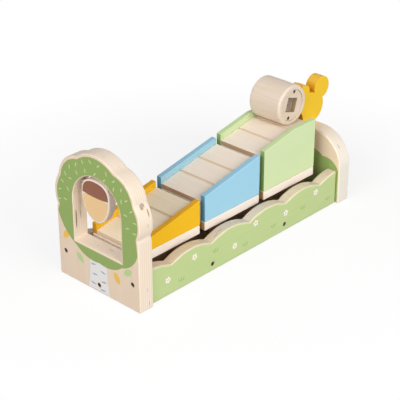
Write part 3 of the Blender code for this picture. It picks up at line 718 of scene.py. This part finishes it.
def crown_lobes():
    """Centre and radius of each lobe of the crown, about the crown's centre."""
    notches = [Vector((CROWN_NOTCH * math.cos(a), CROWN_NOTCH * math.sin(a))) for a in CROWN_NOTCH_ANGLES]
    notches[0].x = PANEL_WIDTH / 2 - PANEL_EDGE
    notches[-1].x = -notches[0].x
    last = len(notches) - 2
    lobes = []
    for i in range(last + 1):
        reach = CROWN_SIDE_CREST if i in (0, last) else CROWN_CREST
        turn = (CROWN_NOTCH_ANGLES[i] + CROWN_NOTCH_ANGLES[i + 1]) / 2
        crest = Vector((reach * math.cos(turn), reach * math.sin(turn)))
        middle = (notches[i] + notches[i + 1]) / 2
        chord = (notches[i + 1] - notches[i]).length
        rise = (crest - middle).length
        radius = (chord * chord / 4 + rise * rise) / (2 * rise)
        lobes.append((crest + (middle - crest).normalized() * radius, radius))
    return lobes


def crown_reach(lobes, turn, rim):
    """How far from the crown's centre the outermost lobe reaches at an angle, less a bare rim."""
    way = Vector((math.cos(turn), math.sin(turn)))
    reach = 0
    for centre, radius in lobes:
        along = centre.dot(way)
        room = (radius - rim) ** 2 - (centre.length_squared - along * along)
        if room > 0:
            reach = max(reach, along + math.sqrt(room))
    return reach


def in_mm(pairs):
    return [(u * MM, v * MM) for u, v in pairs]


def lobed(corners, bulge):
    """A row of arcs from corner to corner, each swelling to the right of its way."""
    points = []
    for start, end in zip(corners, corners[1:]):
        points += bulging(start, end, bulge)[:-1]
    return points + [corners[-1]]


def crown_outline():
    """The panel's crown less a bare rim, a little aside, and closed below the window by a row of lobes."""
    lobes = crown_lobes()
    first, last = CROWN_NOTCH_ANGLES[0], CROWN_NOTCH_ANGLES[-1]
    steps = math.ceil((last - first) / (ARC_STEP / 2))
    points = []
    for i in range(steps + 1):
        turn = first + (last - first) * i / steps
        reach = crown_reach(lobes, turn, CROWN_RIM)
        points.append((CROWN_ASIDE + reach * math.cos(turn), CROWN_CENTRE + reach * math.sin(turn)))
    return points + lobed(in_mm(CROWN_FOOT), CROWN_FOOT_BULGE)


def window_outline():
    """The window and a bare rim round it, which the crown's print leaves open."""
    half = WINDOW_WIDTH / 2 + WINDOW_RIM
    sill = WINDOW_SILL - PRINT_RIM
    arch = arc((CROWN_ASIDE, WINDOW_TOP - WINDOW_WIDTH / 2), half, 0, math.pi)
    return [(CROWN_ASIDE - half, sill), (CROWN_ASIDE + half, sill)] + arch


def crown_ticks():
    """Short light strokes in two rings round the window, each leaning its own way."""
    draw = random.Random(TICK_SEED)
    first, last = CROWN_NOTCH_ANGLES[0], CROWN_NOTCH_ANGLES[-1]
    ticks = []
    for radius, count in TICK_RINGS:
        for i in range(count):
            turn = first + (last - first) * (i + 0.5) / count
            reach = radius * MM * draw.uniform(1 - TICK_SCATTER, 1 + TICK_SCATTER)
            spot = (reach * math.cos(turn), CROWN_CENTRE + reach * math.sin(turn))
            ticks.append(leaf(spot, TICK_LENGTH, TICK_WIDTH, turn + draw.uniform(-TICK_LEAN, TICK_LEAN)))
    return ticks


def leaves(spots, length, width):
    return [leaf((u * MM, v * MM), length, width, turn) for u, v, turn in spots]


def trunk_outline():
    """The trunk's two flanks, drawn in at the waist."""
    top, foot = TRUNK_TOP, TRUNK_FOOT
    right = bulging(top, foot, TRUNK_WAIST)
    left = bulging((-foot[0], foot[1]), (-top[0], top[1]), TRUNK_WAIST)
    return right + left


def screw_outline(name):
    """The hole that a print leaves round a screw head in the tree panel's face."""
    low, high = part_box(name)
    middle = (low + high) / 2
    return arc((-middle.y, middle.z), (high.z - low.z) / 2 + SCREW_RIM, 0, 2 * math.pi)[:-1]


def print_tree(inks):
    """A leafy crown round the window, a pale barked trunk under it, and leaves beside the trunk."""
    face = facing((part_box("tree_panel")[0].x, 0, 0), (0, -1, 0))
    films = {
        "trunk_print": ([trunk_outline(), screw_outline("tree_screw_bottom")], "bark", 1),
        "bark_marks": (leaves(BARK_MARKS, BARK_LENGTH, BARK_WIDTH), "bark_mark", 2),
        "crown_print": ([crown_outline(), window_outline()], "crown", 2),
        "crown_ticks": (crown_ticks(), "tick", 3),
        "yellow_leaves": (leaves(YELLOW_LEAVES, LEAF_LENGTH, LEAF_WIDTH), "leaf_yellow", 1),
        "green_leaves": (leaves(GREEN_LEAVES, LEAF_LENGTH, LEAF_WIDTH), "tick", 1),
    }
    for name, (loops, ink, coats) in films.items():
        print_on(name, loops, face, "root", inks[ink], coats)


def tufts(spots):
    """Three blades of grass fanned from each spot."""
    blades = []
    for u, v in in_mm(spots):
        for fan in BLADE_FAN:
            turn = math.pi / 2 + fan
            middle = (u + BLADE_LENGTH * math.cos(turn), v + BLADE_LENGTH / 2 * math.sin(turn))
            blades.append(leaf(middle, BLADE_LENGTH, BLADE_WIDTH, turn))
    return blades


def print_meadow(name, flowers, grass, face, inks, coats):
    """White blossoms with yellow eyes, and tufts of grass between them."""
    blossoms = [flower(spot, FLOWER_RADIUS, i) for i, spot in enumerate(in_mm(flowers))]
    eyes = [arc(spot, FLOWER_EYE, 0, 2 * math.pi)[:-1] for spot in in_mm(flowers)]
    print_on(name + "_flowers", blossoms, face, "root", inks["petal"], coats)
    print_on(name + "_flower_eyes", eyes, face, "root", inks["leaf_yellow"], coats + 1)
    print_on(name + "_grass", tufts(grass), face, "root", inks["grass"], coats)


def print_rails(inks):
    """The same meadow on both rails, turned about the middle of their length on the far one."""
    for side, right in (("near", (1, 0, 0)), ("far", (-1, 0, 0))):
        low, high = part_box("hedge_" + side)
        place = (0, low.y, 0) if side == "near" else (low.x + high.x, high.y, 0)
        face = facing(place, right)
        print_meadow("hedge_" + side, RAIL_FLOWERS, RAIL_TUFTS, face, inks, 1)


def print_rear(inks):
    """A flowering bush on both faces of the rear panel."""
    low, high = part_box("rear_panel")
    half = PANEL_WIDTH / 2 - PRINT_RIM
    outline = [(-half, PRINT_RIM), (half, PRINT_RIM)] + lobed(in_mm(BUSH_TOP), BUSH_BULGE)
    for side, x, right in (("inner", low.x, (0, -1, 0)), ("outer", high.x, (0, 1, 0))):
        face = facing((x, 0, 0), right)
        print_on(f"rear_{side}_bush", [outline], face, "root", inks["crown"])
        print_meadow(f"rear_{side}", BUSH_FLOWERS, BUSH_TUFTS, face, inks, 2)


def acorn_outlines():
    """The cap and the nut within a bare border, about the middle of the waist between them."""
    low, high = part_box("acorn_flap")
    half = (high.y - low.y) / 2 - ACORN_BORDER
    cap = high.z - ACORN_WAIST - ACORN_BORDER
    nut = ACORN_WAIST - low.z - ACORN_BORDER
    power = 2 / ACORN_CAP_POWER
    steps = math.ceil(math.pi / ARC_STEP)
    waist = bulging((-half, 0), (half, 0), ACORN_CAP_SAG)
    dome, bowl = [], []
    for i in range(1, steps):
        turn = math.pi * i / steps
        c, s = math.cos(turn), math.sin(turn)
        dome.append((half * math.copysign(abs(c) ** power, c), cap * s**power))
        bowl.append((-half * c, -nut * s))
    below = [(u, v) for u, v in bowl if v < -ACORN_CAP_SAG]
    return waist + dome, waist[1:-1][::-1] + below


def print_acorn(inks):
    low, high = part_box("acorn_flap")
    cap, nut = acorn_outlines()
    for side, x, right in (("front", low.x, (0, -1, 0)), ("back", high.x, (0, 1, 0))):
        face = facing((x, (low.y + high.y) / 2, ACORN_WAIST), right)
        print_on(f"acorn_{side}_cap", [cap], face, "acorn", inks["cap"])
        print_on(f"acorn_{side}_nut", [nut], face, "acorn", inks["nut"])


def add_prints():
    colours = {
        "crown": "95AF62",
        "tick": "C0DA96",
        "bark": "F3F0EF",
        "bark_mark": "B4B9C8",
        "leaf_yellow": "F9C75B",
        "petal": "FBF8F2",
        "grass": "A4BC74",
        "cap": "945F49",
        "nut": "F8D09A",
    }
    inks = {name: screen_ink(name, colour) for name, colour in colours.items()}
    print_tree(inks)
    print_rails(inks)
    print_rear(inks)
    print_acorn(inks)


def bar_cutter(length, width, depth):
    """A bar that narrows downwards, one arm of a cross recess."""
    solid = bmesh.new()
    bmesh.ops.create_cube(solid, size=1, matrix=Matrix.Diagonal((length, width, 2 * depth, 1)))
    for vert in solid.verts:
        if vert.co.z < 0:
            vert.co.xy *= CROSS_TAPER
    return put("cross_bar", mesh_of(solid, "cross_bar"))


def turned_screw(head, length):
    """A plain countersunk screw that looks along +Z from the middle of its head's face."""
    shank = SHANK_SHARE * head
    neck = SCREW_RIM + head - shank
    profile = [(0, 0), (FACE_SHARE * head, 0), (head, -HEAD_ROUND), (head, -SCREW_RIM), (shank, -neck)]
    profile += [(shank, SCREW_POINT - length), (0, -length)]
    solid = bmesh.new()
    line = [solid.verts.new((radius, 0, height)) for radius, height in profile]
    edges = [solid.edges.new(pair) for pair in zip(line, line[1:])]
    full_turn = {"axis": (0, 0, 1), "cent": (0, 0, 0), "angle": 2 * math.pi, "steps": SCREW_STEPS}
    bmesh.ops.spin(solid, geom=line + edges, **full_turn)
    bmesh.ops.remove_doubles(solid, verts=solid.verts, dist=MERGE)
    bmesh.ops.recalc_face_normals(solid, faces=solid.faces)
    return put("cross_head_screw", mesh_of(solid, "cross_head_screw"))


def cross_head_mesh(head, length):
    """A turned screw with a cross recess cut into its head."""
    screw = turned_screw(head, length)
    bars = [bar_cutter(CROSS_LENGTH * head, CROSS_WIDTH * head, CROSS_DEPTH * head) for _ in range(2)]
    bars[1].rotation_euler.z = math.pi / 2
    for bar in bars:
        recess = screw.modifiers.new("recess", "BOOLEAN")
        recess.object = bar
    made = bpy.data.meshes.new_from_object(screw.evaluated_get(bpy.context.evaluated_depsgraph_get()))
    for used in [screw] + bars:
        bpy.data.objects.remove(used)
    made.shade_smooth()
    made.set_sharp_from_angle(angle=BEVEL_ANGLE)
    return made


def head_end(name):
    """The middle of a screw's head face, the way that it looks, its length and its head's radius."""
    low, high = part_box(name)
    size = high - low
    way = Vector(HEAD_WAYS[name.split("_screw_")[0]])
    length = abs(size.dot(way))
    return (low + high) / 2 + way * length / 2, way, length, size.z / 2


def fit_screws():
    """A screw with a cross recess in place of each plain one."""
    steel = bronzed_zinc()
    meshes = {}
    for name in sorted(node for node in nodes if "_screw_" in node):
        place, way, length, head = head_end(name)
        kind = (round(head / MM, 2), round(length / MM, 2))
        if kind not in meshes:
            meshes[kind] = cross_head_mesh(head, length)
            meshes[kind].materials.append(steel)
        screw = put(name + "_cross_head", meshes[kind])
        screw.matrix_world = Matrix.Translation(place) @ way.to_track_quat("Z", "Y").to_matrix().to_4x4()
        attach(screw, nodes[name]["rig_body"])
        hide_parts(name)


def seen_directly(tree):
    """1 for rays that show the background itself: from the camera, off gloss or through glass."""
    path = add(tree, "ShaderNodeLightPath")
    rays = [path.outputs[name] for name in ("Is Camera Ray", "Is Glossy Ray", "Is Transmission Ray")]
    first = add(tree, "ShaderNodeMath", {0: rays[0], 1: rays[1]}, operation="MAXIMUM")
    return add(tree, "ShaderNodeMath", {0: first, 1: rays[2]}, operation="MAXIMUM")


def white_paper():
    """Matt white paper that takes a faint shadow near the toy, and further off is as white as the world."""
    made, tree = new_material("white_paper")
    seen = seen_directly(tree)
    grey, white = linear(FLOOR_BOUNCE), linear(WHITE)
    tone = add(tree, "ShaderNodeMixRGB", {"Fac": seen, "Color1": grey, "Color2": white})
    paper = add(tree, "ShaderNodeBsdfDiffuse", {"Color": tone})
    glow = add(tree, "ShaderNodeEmission", {"Color": white, "Strength": 1.0})
    place = add(tree, "ShaderNodeTexCoord").outputs["Object"]
    away = add(tree, "ShaderNodeVectorMath", {0: place}, operation="LENGTH").outputs["Value"]
    fade = {"From Min": FLOOR_NEAR, "From Max": FLOOR_FAR, "To Min": FLOOR_GLOW, "To Max": 1.0}
    even = add(tree, "ShaderNodeMapRange", {"Value": away, **fade})
    share = add(tree, "ShaderNodeMath", {0: seen, 1: even}, operation="MULTIPLY")
    mix = add(tree, "ShaderNodeMixShader", {0: share, 1: paper, 2: glow})
    add(tree, "ShaderNodeOutputMaterial", {"Surface": mix})
    return made


def white_floor():
    solid = bmesh.new()
    bmesh.ops.create_grid(solid, x_segments=1, y_segments=1, size=FLOOR_SIZE / 2)
    mesh = mesh_of(solid, "floor")
    mesh.materials.append(white_paper())
    floor = put("floor", mesh)


def white_world():
    """Even light from all round, against a white that only shows where it is seen."""
    world = bpy.data.worlds.new("studio")
    world.use_nodes = True
    tree = world.node_tree
    tree.nodes.clear()
    seen = seen_directly(tree)
    rise = add(tree, "ShaderNodeMapRange", {"Value": seen, "To Min": AMBIENT, "To Max": 1.0})
    sky = add(tree, "ShaderNodeBackground", {"Color": linear(WHITE), "Strength": rise})
    add(tree, "ShaderNodeOutputWorld", {"Surface": sky})
    bpy.context.scene.world = world


def hang_lamps():
    """Square soft lamps. A lamp of power P at distance d gives a white card the level P / (pi d)^2."""
    for name, lamp in LAMPS.items():
        light = bpy.data.lights.new(name + "_softbox", "AREA")
        light.size = lamp["size"]
        light.energy = lamp["level"] * (math.pi * lamp["distance"]) ** 2
        towards = Vector(lamp["towards"]).normalized()
        box = put(name + "_softbox", light)
        box.location = Vector(LAMP_AIM) + towards * lamp["distance"]
        box.rotation_euler = towards.to_track_quat("Z", "Y").to_euler()


def place_camera():
    lens = bpy.data.cameras.new("photo_camera")
    lens.sensor_width = CAMERA_SENSOR
    lens.lens = CAMERA_LENS
    camera = put("photo_camera", lens)
    camera.location = CAMERA_PLACE
    camera.rotation_euler = (math.pi / 2 - CAMERA_DOWN, 0, CAMERA_AZIMUTH - math.pi / 2)
    bpy.context.scene.camera = camera


place_camera()
dress_boards()
add_prints()
fit_screws()
white_floor()
white_world()
hang_lamps()
bpy.context.scene.view_settings.view_transform = "Standard"
